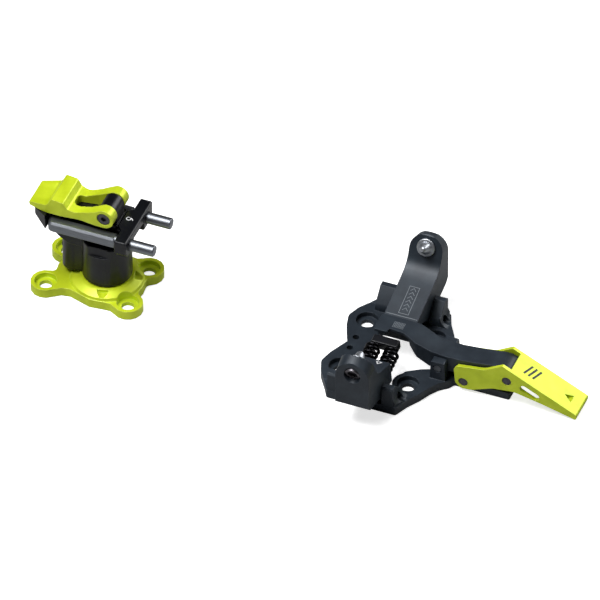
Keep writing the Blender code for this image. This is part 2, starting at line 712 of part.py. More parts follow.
def toe_base(unit):
    half = [
        (-20.7, 0.0), (-25.6, 10.9, 3.0), (-27.6, 18.4, 5.0), (-25.0, 25.3, 8.0),
        (-19.6, 33.4, 8.0), (-17.0, TOE_HALF_Y, 1.5), (20.0, TOE_HALF_Y, 1.5),
        (23.2, 30.4, 6.0), (27.4, 23.5, 8.0), (30.4, 17.0, 6.0), (33.4, 12.6, 4.0),
        (37.6, 9.0, 2.0), (39.0, TONGUE_HALF_Y, 1.5), (TONGUE_TIP, TONGUE_HALF_Y, 1.0)]
    outline = rounded(both_sides(half))
    base = prism(outline, 0.0, TOE_PLATE_T)
    cut(base, block((49.0, -20, TONGUE_T), (80, 20, 20)))
    window = rounded(both_sides([
        (WINDOW_REAR, WINDOW_HALF_Y, 3.0), (13.0, WINDOW_HALF_Y, 4.0), (14.0, 11.0, 3.0),
        (21.0, 6.2, 3.0), (27.6, 3.6, 2.0)]))
    opening = prism(window, -1, 20)
    holes = [(x, y * TOE_HOLE_Y) for x in (TOE_HOLE_REAR, TOE_HOLE_FRONT) for y in (-1, 1)]
    for x, y in holes:
        cut(opening, rod(TOE_LOBE_R, -2, 21, (x, y), steps=28))
    cut(base, opening)

    ear_y = TOE_HALF_Y - 0.1
    ear = [(ear_y, 1.0), (ear_y, EAR_TOP - 1.0), (ear_y - 1.0, EAR_TOP),
           (TOE_HALF_Y - EAR_FLAT, EAR_TOP), (27.5, 9.2), (26.6, 7.0), (26.4, 1.0)]
    front_ear = (ARM_FRONT + ARM_SIDE_GAP, EAR_FRONT)
    rear_ear = (EAR_REAR, ARM_REAR - ARM_SIDE_GAP)
    fillet_end = EAR_FRONT + EAR_FILLET_R
    fillet_low = TOE_PLATE_T - 0.2
    fillet_side = [(fillet_end, 1.0), (EAR_FRONT - 0.5, 1.0), (EAR_FRONT - 0.5, fillet_low + EAR_FILLET_R)]
    fillet_side += arc((fillet_end, fillet_low + EAR_FILLET_R), EAR_FILLET_R, 180, 270, 7)
    for side in (-1, 1):
        face = [(side * y, z) for y, z in ear]
        for low, high in (front_ear, rear_ear):
            join(base, prism(face, low, high, "X"))
        plan = [(17.0, 26.6), (24.7, 26.6), (22.6, 30.2), (19.5, ear_y - 0.4), (17.0, ear_y - 0.4)]
        fillet = prism([(x, side * y) for x, y in plan], 0.0, 20.0)
        join(base, keep(fillet, prism(fillet_side, -50, 50, "Y")))
        low, high = sorted((side * 25.5, side * (TOE_HALF_Y - 1.2)))
        pocket = block((ARM_REAR - ARM_SIDE_GAP, low, 2.6), (ARM_FRONT + ARM_SIDE_GAP, high, 12))
        cut(base, pocket)
        cut(base, rod(ARM_AXLE_R + RUN, -30, 30, (side * ARM_AXIS_Y, ARM_AXIS_Z), "X"))
    rocker_side = rounded([
        (27.2, 1.0), (35.6, 1.0), (35.2, ROCKER_EAR_TOP, 0.8), (28.0, ROCKER_EAR_TOP, 0.8)])
    for side in (-1, 1):
        low, high = sorted((side * (BAR_HALF_Y + GAP), side * ROCKER_EAR_Y))
        join(base, prism(rocker_side, low, high, "Y"))
    cut(base, rod(ROCKER_PIN_R + RUN, -20, 20, (ROCKER_X, ROCKER_Z), "Y"))
    lug = [(LEVER_X - 4.2, 1.0), (LEVER_X + 4.2, 1.0)]
    lug += arc((LEVER_X, LEVER_Z), 2.9 + 0.6, 20, 160, 6)
    lug = [(x, min(z, 8.7)) for x, z in lug]
    join(base, prism(lug, -TONGUE_HALF_Y, TONGUE_HALF_Y, "Y"))
    cut(base, rod(LEVER_PIN_R + RUN, -20, 20, (LEVER_X, LEVER_Z), "Y"))
    for x, y in holes:
        cut(base, rod(SCREW_HOLE_R, -1, 9, (x, y)))
        cut(base, rod(SCREW_SINK_R, SCREW_SINK_FLOOR, 12, (x, y), steps=28))
    for side in (-1, 1):
        cut(base, rod(SMALL_HOLE_R, -1, 9, (SMALL_HOLE_X, side * SMALL_HOLE_Y), steps=20))
    finish(base, "toe_base", "anthracite", unit)

    for name, side in (("left", 1), ("right", -1)):
        axle = rod(ARM_AXLE_R, rear_ear[0] + GAP, front_ear[1] - GAP,
                   (side * ARM_AXIS_Y, ARM_AXIS_Z), "X")
        finish(axle, name + "_arm_axle", "steel", unit)


def arm_tools(side):
    """The slanted hole that holds an arm's pin, and its wider seat at the outer face."""
    middle = (side * PIN_FACE_Y, PIN_FACE_Z)
    x = (ARM_REAR + ARM_FRONT) / 2
    low, high = -4.0, 20.0
    hole = rod(PIN_SHANK_R + GAP, low, high, (0, 0))
    seat = rod(PIN_RING_R + GAP, PIN_SEAT_DEPTH, high, (0, 0))
    for tool in (hole, seat):
        lay_pin(tool, side, x, middle)
    return hole, seat


def lay_pin(item, side, x, middle):
    """Lay a piece made along +Z on the pin's axis, with +Z pointing out and down."""
    turn(item, -side * (90.0 + PIN_TILT), "X")
    shift(item, x, middle[0], middle[1])
    return item


def pin_face(rise):
    """A point of an arm's slanted inner face, at a height above the pin's axis."""
    return (PIN_FACE_Y + rise * math.tan(math.radians(PIN_TILT)), PIN_FACE_Z + rise)


def arm_solid(side, inner):
    barrel = arc((ARM_AXIS_Y, ARM_AXIS_Z), ARM_BARREL_R, 10, -190, 14)
    outer = [pin_face(PIN_FACE_REACH), (PIN_FACE_Y + 4.2, ARM_TOP),
             (ARM_OUTER_Y - 1.6, ARM_TOP - 0.6), (ARM_OUTER_Y, ARM_TOP - 3.0),
             (ARM_OUTER_Y, 14.5), (ARM_OUTER_Y - 2.5, 12.2), (41.0, 9.6)]
    face = [(side * y, z) for y, z in inner + outer + barrel]
    arm = prism(face, ARM_REAR, ARM_FRONT, "X")
    middle = (ARM_REAR + ARM_FRONT) / 2
    half = (ARM_FRONT - ARM_REAR) / 2
    head = rounded([
        (middle - half - 1, -40), (middle + half + 1, -40), (middle + half, ARM_TOP - 14),
        (middle + half, ARM_TOP + 0.2, ARM_HEAD_R), (middle - half, ARM_TOP + 0.2, ARM_HEAD_R),
        (middle - half, ARM_TOP - 14)], 8)
    outline = turn(prism(head, -70, 70, "Y"), -side * PIN_TILT, "X", (0, side * PIN_FACE_Y, PIN_FACE_Z))
    keep(arm, outline)
    hole, seat = arm_tools(side)
    cut(arm, hole, seat)
    cut(arm, rod(ARM_AXLE_R + RUN, -40, 40, (side * ARM_AXIS_Y, ARM_AXIS_Z), "X"))
    return arm


def toe_pin(unit, name, side):
    pin = turned([
        (0.0, PIN_REACH), (1.1, PIN_REACH - 0.25), (1.9, PIN_REACH - 1.1),
        (2.35, PIN_REACH - 2.4), (3.4, 1.3), (PIN_FLANGE_R - 0.4, 1.3), (PIN_FLANGE_R, 1.0),
        (PIN_FLANGE_R, GAP), (PIN_SHANK_R, GAP), (PIN_SHANK_R, -PIN_SEAT_DEPTH - GAP),
        (PIN_RING_R, -PIN_SEAT_DEPTH - GAP), (PIN_RING_R, -PIN_SEAT_DEPTH - 2.4),
        (2.7, -PIN_SEAT_DEPTH - 2.4), (2.7, -PIN_SEAT_DEPTH - 0.4), (0.0, -PIN_SEAT_DEPTH - 0.4)])
    turn(pin, 180, "X")
    x = (ARM_REAR + ARM_FRONT) / 2
    lay_pin(pin, side, x, (side * PIN_FACE_Y, PIN_FACE_Z))
    finish(pin, name + "_toe_pin", "bright_steel", unit, (x, side * ARM_AXIS_Y, ARM_AXIS_Z))


def toe_arms(unit):
    left_inner = [(18.0, 12.4), (3.0, 12.2), (3.0, 16.4), (10.8, 17.8), (33.5, 24.6),
                  (38.6, 26.4), (41.8, 28.6), pin_face(-PIN_FACE_REACH)]
    left = arm_solid(1, left_inner)
    finish(left, "left_arm", "anthracite", unit, (0, ARM_AXIS_Y, ARM_AXIS_Z))
    toe_pin(unit, "left", 1)

    seat_y = -SPRING_SEAT_Y + GAP
    lean = math.tan(math.radians(SPRING_TILT))
    right_inner = [
        (seat_y - (SPRING_SEAT_Z - 7.6) * lean, 7.6), (seat_y + 9.0 * lean, SPRING_SEAT_Z + 9.0),
        (33.5, 24.6), (38.6, 26.4), (41.8, 28.6), pin_face(-PIN_FACE_REACH)]
    right = arm_solid(-1, right_inner)
    for x in spring_places():
        cut(right, along_spring(rod(ROD_R + GAP, -4.0, 4.0, (0, 0), steps=16), x))
    finish(right, "right_arm", "anthracite", unit, (0, -ARM_AXIS_Y, ARM_AXIS_Z))
    toe_pin(unit, "right", -1)


def spring_places():
    return (SPRING_X - SPRING_STEP / 2, SPRING_X + SPRING_STEP / 2)


def along_spring(item, x):
    """Lay a piece made along +Z on a toe spring's axis, starting at the arm."""
    turn(item, -90 + SPRING_TILT, "X")
    shift(item, x, SPRING_SEAT_Y, SPRING_SEAT_Z)
    return item


def toe_springs(unit):
    axis = (0, -ARM_AXIS_Y, ARM_AXIS_Z)
    block_start = SPRING_LENGTH + 2 * GAP
    carrier = block((-7.0, -2.7, block_start), (7.0, 2.7, block_start + BLOCK_T))
    soften(carrier, 0.5)
    along_spring(carrier, SPRING_X)
    for name, x in zip(("rear", "front"), spring_places()):
        coil = helix(SPRING_MEAN_R, SPRING_WIRE_R, SPRING_TURNS, SPRING_LENGTH, "coil", 9)
        along_spring(shift(coil, z=GAP), x)
        finish(coil, "toe_spring_" + name, "spring_steel", unit, axis)
        guide = rod(ROD_R, -3.5, block_start + 3.5, (0, 0), steps=16)
        finish(along_spring(guide, x), "spring_rod_" + name, "dark_steel", unit, axis)
        socket = rod(ROD_R + GAP, block_start - 2, block_start + 3.5 + GAP, (0, 0), steps=16)
        cut(carrier, along_spring(socket, x))
    finish(carrier, "spring_block", "black", unit, axis)


def rocker_bar(unit):
    side = [
        (-6.0, HUB_TOP), (-6.0, HUB_BOTTOM), (12.6, HUB_BOTTOM), (13.4, 15.0), (18.0, 10.5),
        (25.0, 8.4), (31.3, 8.0), (38.0, 8.6), (41.0, 9.4), (60.0, 9.2), (71.6, 10.4),
        (71.6, 16.2), (68.6, 19.4), (65.6, 20.4), (62.0, 20.4), (50.0, 18.6), (40.0, 17.6),
        (32.0, 17.6), (22.0, 18.8), (14.0, 19.8)]
    plan = rounded([
        (-6.0, -2.0, 0.8), (1.0, -2.0, 0.6), (1.4, 0.8, 0.6), (9.0, 0.3, 5.0),
        (17.0, -4.0, 8.0), (26.0, -BAR_HALF_Y, 8.0), (72.0, -BAR_HALF_Y, 1.0),
        (72.0, BAR_HALF_Y, 1.0), (27.0, BAR_HALF_Y, 8.0), (15.0, 10.3, 8.0), (-6.0, 10.3, 1.0)])
    bar = prism(side, -12, 12, "Y")
    keep(bar, prism(plan, 0, 30))
    cut(bar, rod(ROCKER_PIN_R + RUN, -20, 20, (ROCKER_X, ROCKER_Z), "Y"))
    end_x, end_z = cam_in_bar(LEVER_SWING)
    slope = math.degrees(math.atan2(end_z - CAM_Z, end_x - CAM_X))
    width = LEVER_PIN_R + GAP + 0.1
    slot = arc((CAM_X, CAM_Z), width, slope - 270, slope - 90, 8)
    slot += arc((end_x, end_z), width, slope - 90, slope + 90, 8)
    cut(bar, prism(slot, -20, 20, "Y"))
    finish(bar, "rocker_bar", "anthracite", unit, (ROCKER_X, 0, ROCKER_Z))

    reach = ROCKER_EAR_Y - 0.2
    pin = rod(ROCKER_PIN_R, -reach, reach, (ROCKER_X, ROCKER_Z), "Y")
    finish(pin, "rocker_pin", "steel", unit)


def cam_in_bar(lever_angle):
    """Where the cam pin lies, as the rocker bar sees it, at a lever angle in degrees."""
    swing = Matrix.Rotation(math.radians(lever_angle), 2)
    back = Matrix.Rotation(-math.radians(lever_angle * ROCKER_SHARE), 2)
    lever_axis = Vector((LEVER_X, LEVER_Z))
    bar_axis = Vector((ROCKER_X, ROCKER_Z))
    world = lever_axis + swing @ (Vector((CAM_X, CAM_Z)) - lever_axis)
    return bar_axis + back @ (world - bar_axis)


def toe_lever(unit):
    axis = (LEVER_X, 0, LEVER_Z)
    side = rounded([
        (39.4, 12.9, 0.8), (41.3, 15.3, 1.0), (55.8, 17.5, 8.0), (65.2, 23.1, 1.2),
        (LEVER_TIP, LEVER_TIP_Z, 1.2), (LEVER_TIP - 0.4, 0.4, 1.0), (86.0, 5.1, 12.0), (71.3, 8.2, 12.0),
        (59.9, 6.7, 12.0), (48.4, 1.9, 4.0), (43.0, 1.6, 2.5), (40.2, 4.4, 2.0)])
    lever = prism(side, -LEVER_HALF_Y, LEVER_HALF_Y, "Y")
    inner = LEVER_HALF_Y - LEVER_WALL
    cut(lever, block((35.0, -inner, -5), (69.5, inner, 30)))
    top = [(65.2, 23.1), (LEVER_TIP, LEVER_TIP_Z)]
    slope = (top[1][1] - top[0][1]) / (top[1][0] - top[0][0])
    skin = 1.9
    hollow = [(69.0, -2.0), (92.0, -2.0)]
    hollow += [(x, top[0][1] + slope * (x - top[0][0]) - skin) for x in (92.0, 69.0)]
    cut(lever, prism(hollow, -inner, inner, "Y"))
    tilt = math.degrees(math.atan(slope))
    slot = arc((3.6, 0), 2.0, -90, 90, 8) + arc((-3.6, 0), 2.0, 90, 270, 8)
    window = prism(slot, -20, 20, "Y")
    turn(window, -tilt, "Y")
    cut(lever, shift(window, 79.9, 0, 10.2))
    dimple_x = LEVER_TIP - 5.5
    dimple = [(dimple_x - 4.0, 0.0), (dimple_x, -2.4), (dimple_x, 2.4)]
    thumb = prism(dimple, 0.0, 6.0)
    shift(thumb, z=top[0][1] + slope * (dimple_x - top[0][0]) - 0.4)
    cut(lever, thumb)
    hole = LEVER_PIN_R + RUN
    cut(lever, rod(hole, -20, 20, (LEVER_X, LEVER_Z), "Y"))
    cut(lever, rod(hole, -20, 20, (CAM_X, CAM_Z), "Y"))
    finish(lever, "toe_lever", "lime", unit, axis)

    reach = LEVER_HALF_Y - 0.1
    pivot = rod(LEVER_PIN_R, -reach, reach, (LEVER_X, LEVER_Z), "Y")
    finish(pivot, "lever_pin", "dark_steel", unit)
    cam = rod(LEVER_PIN_R, -reach, reach, (CAM_X, CAM_Z), "Y")
    finish(cam, "cam_pin", "dark_steel", unit, axis)


clear_scene()
pieces = bpy.data.collections.new("touring_binding")
bpy.context.scene.collection.children.link(pieces)
materials = {name: material(name) for name in COLOURS}

heel_unit = scratch("heel_unit", None)
heel_base(heel_unit)
heel_spindle(heel_unit)
heel_housing(heel_unit)
housing_cap(heel_unit)
release_fork(heel_unit)
heel_flap(heel_unit)
lateral_release(heel_unit)

toe_unit = scratch("toe_unit", None)
toe_unit.location = (TOE_X * MM, 0, 0)
toe_base(toe_unit)
toe_arms(toe_unit)
toe_springs(toe_unit)
rocker_bar(toe_unit)
toe_lever(toe_unit)
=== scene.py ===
import json
import math

import bmesh
import bpy
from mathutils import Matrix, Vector


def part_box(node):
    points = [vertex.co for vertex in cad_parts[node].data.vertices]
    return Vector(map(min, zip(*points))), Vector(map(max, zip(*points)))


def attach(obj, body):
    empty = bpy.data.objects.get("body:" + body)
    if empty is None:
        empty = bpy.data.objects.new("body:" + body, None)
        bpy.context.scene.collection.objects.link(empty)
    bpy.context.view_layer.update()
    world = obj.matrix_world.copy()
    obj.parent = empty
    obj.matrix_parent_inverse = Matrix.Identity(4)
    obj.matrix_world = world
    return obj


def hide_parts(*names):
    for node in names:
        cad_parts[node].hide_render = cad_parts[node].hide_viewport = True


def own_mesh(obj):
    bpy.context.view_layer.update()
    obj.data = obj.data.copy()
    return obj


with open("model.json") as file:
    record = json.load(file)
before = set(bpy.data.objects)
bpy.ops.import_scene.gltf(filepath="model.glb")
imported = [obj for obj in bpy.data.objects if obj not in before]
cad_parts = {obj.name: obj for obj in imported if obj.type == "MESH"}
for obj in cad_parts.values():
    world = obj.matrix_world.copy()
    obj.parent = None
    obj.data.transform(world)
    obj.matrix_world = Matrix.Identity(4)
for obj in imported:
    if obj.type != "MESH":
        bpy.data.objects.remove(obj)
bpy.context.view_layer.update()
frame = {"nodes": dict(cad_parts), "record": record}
mm = 0.001
print("frame loaded:", len(frame["nodes"]), "nodes")


# small helpers for meshes

def linear(hexColour):
    channels = [int(hexColour[i:i + 2], 16) / 255 for i in (1, 3, 5)]
    lit = [c / 12.92 if c <= 0.04045 else ((c + 0.055) / 1.055) ** 2.4 for c in channels]
    return (*lit, 1.0)


def newPiece(name, mesh, body, material):
    piece = bpy.data.objects.new(name, mesh)
    bpy.context.scene.collection.objects.link(piece)
    piece.data.materials.append(material)
    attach(piece, body)
    return piece


# materials

def addNode(tree, kind, settings=None, values=None, links=None):
    node = tree.nodes.new(kind)
    for key, value in (settings or {}).items():
        setattr(node, key, value)
    for key, value in (values or {}).items():
        node.inputs[key].default_value = value
    for key, source in (links or {}).items():
        tree.links.new(source, node.inputs[key])
    return node


def startMaterial(name):
    made = bpy.data.materials.new(name)
    made.use_nodes = True
    tree = made.node_tree
    shader = tree.nodes["Principled BSDF"]
    return made, tree, shader


def edgeMask(tree, radius):
    # 0 on a flat, 1 on an edge: how far the rounded normal leans from the true one
    rounded = addNode(tree, "ShaderNodeBevel", {"samples": 4}, {"Radius": radius})
    true = addNode(tree, "ShaderNodeNewGeometry")
    agree = addNode(tree, "ShaderNodeVectorMath", {"operation": "DOT_PRODUCT"}, {},
                    {0: rounded.outputs[0], 1: true.outputs["Normal"]})
    lean = addNode(tree, "ShaderNodeMapRange", {}, {"From Min": 0.995, "From Max": 0.8},
                   {"Value": agree.outputs["Value"]})
    return rounded, lean


anodised = {
    "blastGrain": 0.35,       # mm between the pits that bead blasting leaves, drawn coarser to show
    "blastDepth": 0.012,      # mm
    "toneSize": 9.0,          # mm, slow change of the dye's depth
    "edgeRound": 0.35,        # mm, tumbled edges
}


def anodisedAlloy(name, mid, light, dark, worn, roughness, metallic):
    # anodised aluminium, milled and then bead blasted: even dye, satin gloss, paler rubbed edges
    made, tree, shader = startMaterial(name)
    place = addNode(tree, "ShaderNodeTexCoord")
    tone = addNode(tree, "ShaderNodeTexNoise", {}, {"Scale": 1 / (anodised["toneSize"] * mm), "Detail": 3.0},
                   {"Vector": place.outputs["Object"]})
    dye = addNode(tree, "ShaderNodeValToRGB", {}, {}, {"Fac": tone.outputs["Fac"]})
    dye.color_ramp.elements[0].position = 0.35
    dye.color_ramp.elements[0].color = linear(dark)
    dye.color_ramp.elements[1].position = 0.7
    dye.color_ramp.elements[1].color = linear(light)
    middle = dye.color_ramp.elements.new(0.52)
    middle.color = linear(mid)
    rounded, lean = edgeMask(tree, anodised["edgeRound"] * mm)
    rubbed = addNode(tree, "ShaderNodeTexNoise", {}, {"Scale": 1 / (1.6 * mm), "Detail": 4.0},
                     {"Vector": place.outputs["Object"]})
    rubbedEdge = addNode(tree, "ShaderNodeMath", {"operation": "MULTIPLY"}, {},
                         {0: lean.outputs["Result"], 1: rubbed.outputs["Fac"]})
    colour = addNode(tree, "ShaderNodeMix", {"data_type": "RGBA"}, {}, {"Factor": rubbedEdge.outputs[0]})
    tree.links.new(dye.outputs["Color"], colour.inputs[6])
    colour.inputs[7].default_value = linear(worn)
    tree.links.new(colour.outputs[2], shader.inputs["Base Color"])
    grain = addNode(tree, "ShaderNodeTexNoise", {}, {"Scale": 1 / (anodised["blastGrain"] * mm), "Detail": 2.0},
                    {"Vector": place.outputs["Object"]})
    gloss = addNode(tree, "ShaderNodeMapRange", {}, {"To Min": roughness - 0.05, "To Max": roughness + 0.07},
                    {"Value": grain.outputs["Fac"]})
    tree.links.new(gloss.outputs["Result"], shader.inputs["Roughness"])
    bump = addNode(tree, "ShaderNodeBump", {}, {"Strength": 0.35, "Distance": anodised["blastDepth"] * mm},
                   {"Height": grain.outputs["Fac"], "Normal": rounded.outputs[0]})
    tree.links.new(bump.outputs["Normal"], shader.inputs["Normal"])
    shader.inputs["Metallic"].default_value = metallic
    return made


ground = {
    "lineStep": 0.25,         # mm between grinding lines, drawn coarser than real ones to show
    "lineDepth": 0.004,       # mm
}


def groundSteel(name, mid, light, roughness, along, edge=0.2):
    # ground and passivated steel: fine lines one way, a soft streaky gloss
    made, tree, shader = startMaterial(name)
    place = addNode(tree, "ShaderNodeTexCoord")
    stretch = [1.0 if axis != along else 0.03 for axis in "XYZ"]
    lines = addNode(tree, "ShaderNodeMapping", {}, {"Scale": stretch}, {"Vector": place.outputs["Object"]})
    streak = addNode(tree, "ShaderNodeTexNoise", {}, {"Scale": 1 / (ground["lineStep"] * mm), "Detail": 2.0},
                     {"Vector": lines.outputs["Vector"]})
    colour = addNode(tree, "ShaderNodeValToRGB", {}, {}, {"Fac": streak.outputs["Fac"]})
    colour.color_ramp.elements[0].position = 0.3
    colour.color_ramp.elements[0].color = linear(mid)
    colour.color_ramp.elements[1].position = 0.75
    colour.color_ramp.elements[1].color = linear(light)
    tree.links.new(colour.outputs["Color"], shader.inputs["Base Color"])
    gloss = addNode(tree, "ShaderNodeMapRange", {}, {"To Min": roughness - 0.06, "To Max": roughness + 0.08},
                    {"Value": streak.outputs["Fac"]})
    tree.links.new(gloss.outputs["Result"], shader.inputs["Roughness"])
    rounded = addNode(tree, "ShaderNodeBevel", {"samples": 4}, {"Radius": edge * mm})
    bump = addNode(tree, "ShaderNodeBump", {}, {"Strength": 0.4, "Distance": ground["lineDepth"] * mm},
                   {"Height": streak.outputs["Fac"], "Normal": rounded.outputs[0]})
    tree.links.new(bump.outputs["Normal"], shader.inputs["Normal"])
    shader.inputs["Metallic"].default_value = 1.0
    return made


def plainFinish(name, mid, light, roughness, metallic, grainSize):
    # turned or moulded small parts: one even colour with a faint cloud in tone and gloss
    made, tree, shader = startMaterial(name)
    place = addNode(tree, "ShaderNodeTexCoord")
    cloud = addNode(tree, "ShaderNodeTexNoise", {}, {"Scale": 1 / (grainSize * mm), "Detail": 3.0},
                    {"Vector": place.outputs["Object"]})
    colour = addNode(tree, "ShaderNodeValToRGB", {}, {}, {"Fac": cloud.outputs["Fac"]})
    colour.color_ramp.elements[0].position = 0.3
    colour.color_ramp.elements[0].color = linear(mid)
    colour.color_ramp.elements[1].position = 0.75
    colour.color_ramp.elements[1].color = linear(light)
    tree.links.new(colour.outputs["Color"], shader.inputs["Base Color"])
    gloss = addNode(tree, "ShaderNodeMapRange", {}, {"To Min": roughness - 0.05, "To Max": roughness + 0.08},
                    {"Value": cloud.outputs["Fac"]})
    tree.links.new(gloss.outputs["Result"], shader.inputs["Roughness"])
    rounded = addNode(tree, "ShaderNodeBevel", {"samples": 4}, {"Radius": 0.15 * mm})
    tree.links.new(rounded.outputs[0], shader.inputs["Normal"])
    shader.inputs["Metallic"].default_value = metallic
    return made


finishes = {
    "lime_anodised_alloy": anodisedAlloy(
        "limeAnodisedAluminium", "#CBDD26", "#D4E432", "#C0D21E", "#EAF296", 0.36, 0.25),
    "anthracite_anodised_alloy": anodisedAlloy(
        "anthraciteAnodisedAluminium", "#262E37", "#2C353E", "#202831", "#4A5561", 0.46, 0.25),
    "black_anodised_alloy": anodisedAlloy(
        "blackAnodisedAluminium", "#0D0F14", "#11131A", "#0A0B10", "#2C2F38", 0.32, 0.3),
    "fork_steel": groundSteel("groundForkSteel", "#6E7176", "#85898F", 0.42, "X"),
    "polished_pin_steel": groundSteel("polishedPinSteel", "#AEB2B9", "#C6CAD0", 0.42, "X"),
    "dark_fastener_steel": plainFinish("darkZincSteel", "#4A4A4E", "#5F5F64", 0.34, 1.0, 1.2),
    "black_spring_steel": plainFinish("oiledSpringSteel", "#101012", "#1C1C20", 0.24, 0.9, 0.8),
    "bush_polymer": plainFinish("naturalAcetal", "#DCD8C8", "#E8E5D8", 0.45, 0.0, 2.0),
    "nickel_magnet": plainFinish("nickelPlate", "#B4B2AC", "#C8C6C0", 0.16, 1.0, 1.5),
}


def paintRecessShade(made, fromY, toY, hexColour):
    # painted shade: the pins' seat rings at the arms' outer faces are darkened to stand for the shade in the recesses
    # they sit in
    tree = made.node_tree
    shader = tree.nodes["Principled BSDF"]
    place = addNode(tree, "ShaderNodeTexCoord")
    parts = addNode(tree, "ShaderNodeSeparateXYZ", {}, {}, {0: place.outputs["Object"]})
    out = addNode(tree, "ShaderNodeMath", {"operation": "ABSOLUTE"}, {}, {0: parts.outputs["Y"]})
    share = addNode(tree, "ShaderNodeMapRange", {}, {"From Min": fromY * mm, "From Max": toY * mm},
                    {"Value": out.outputs[0]})
    colour = addNode(tree, "ShaderNodeMix", {"data_type": "RGBA"}, {}, {"Factor": share.outputs["Result"]})
    tree.links.new(shader.inputs["Base Color"].links[0].from_socket, colour.inputs[6])
    colour.inputs[7].default_value = linear(hexColour)
    tree.links.new(colour.outputs[2], shader.inputs["Base Color"])


# painted shade on the pins' outer ends, from 48 mm to 50 mm either side of the middle
paintRecessShade(finishes["polished_pin_steel"], 48.0, 50.0, "#6C696E")
slotOf = {row["node"]: row["material_slot"] for row in frame["record"]["subparts"]}
print("materials made:", len(finishes))


# the CAD pieces: welded and shaded smooth up to a crease, without touching their meshes

def creaseGroup():
    group = bpy.data.node_groups.new("smoothToCrease", "GeometryNodeTree")
    group.interface.new_socket("Geometry", in_out="INPUT", socket_type="NodeSocketGeometry")
    group.interface.new_socket("Geometry", in_out="OUTPUT", socket_type="NodeSocketGeometry")
    start = addNode(group, "NodeGroupInput")
    merged = addNode(group, "GeometryNodeMergeByDistance", {}, {"Distance": 0.002 * mm},
                     {"Geometry": start.outputs[0]})
    faces = addNode(group, "GeometryNodeSetShadeSmooth", {"domain": "FACE"}, {"Shade Smooth": True},
                    {"Geometry": merged.outputs[0]})
    angle = addNode(group, "GeometryNodeInputMeshEdgeAngle")
    shallow = addNode(group, "FunctionNodeCompare", {"operation": "LESS_THAN"}, {1: math.radians(33)},
                      {0: angle.outputs["Unsigned Angle"]})
    edges = addNode(group, "GeometryNodeSetShadeSmooth", {"domain": "EDGE"}, {},
                    {"Geometry": faces.outputs[0], "Shade Smooth": shallow.outputs[0]})
    addNode(group, "NodeGroupOutput", {}, {}, {0: edges.outputs[0]})
    return group


edges = {
    "weld": 0.002,            # mm
    "flat": 1.5,              # degrees; facets of one face are joined before its edges are rounded
    "round": 0.35,            # mm, broken edges of a milled part
    "roundSmall": 0.12,       # mm, on small turned parts
    "from": 34.0,             # degrees, the shallowest corner that counts as an edge
}
largeNodes = ("heel_base", "heel_housing", "housing_cap", "release_fork", "release_plate", "heel_flap",
              "toe_base", "left_arm", "right_arm", "rocker_bar", "toe_lever")


def roundEdges(node, width):
    weld = node.modifiers.new("weld", "WELD")
    weld.merge_threshold = edges["weld"] * mm
    flat = node.modifiers.new("joinFacets", "DECIMATE")
    flat.decimate_type = "DISSOLVE"
    flat.angle_limit = math.radians(edges["flat"])
    broken = node.modifiers.new("brokenEdges", "BEVEL")
    broken.width = width * mm
    broken.segments = 2
    broken.limit_method = "ANGLE"
    broken.angle_limit = math.radians(edges["from"])
    broken.miter_outer = "MITER_ARC"
    broken.harden_normals = False


crease = creaseGroup()
for nodeName, node in frame["nodes"].items():
    node.data.materials.clear()
    node.data.materials.append(finishes[slotOf[nodeName]])
    roundEdges(node, edges["round"] if nodeName in largeNodes else edges["roundSmall"])
    step = node.modifiers.new("smoothToCrease", "NODES")
    step.node_group = crease
    level = node.modifiers.new("levelFlats", "WEIGHTED_NORMAL")    # keeps broad flats flat beside their rounds
    level.keep_sharp = True
print("CAD pieces finished")


# the toe springs: ground and closed ends, wound finer than the CAD coils that they stand for

toeX = frame["record"]["behaviour"]["joints"][5]["pos_m"][0] / mm    # the toe unit's own zero

toeSprings = {
    "seat": (-22.6, 12.0),    # mm, Y and Z of the outer end of the axis
    "tilt": 10.0,             # degrees, rising inwards
    "length": 14.2,
    "meanRadius": 3.4,
    "wire": 0.88,
    "turns": 5.0,
    "closed": 0.9,            # turns at each end that lie on the one before
    "places": (("toe_spring_rear", -3.0), ("toe_spring_front", 7.0)),
    "stepsPerTurn": 32,
    "wireSides": 12,
}


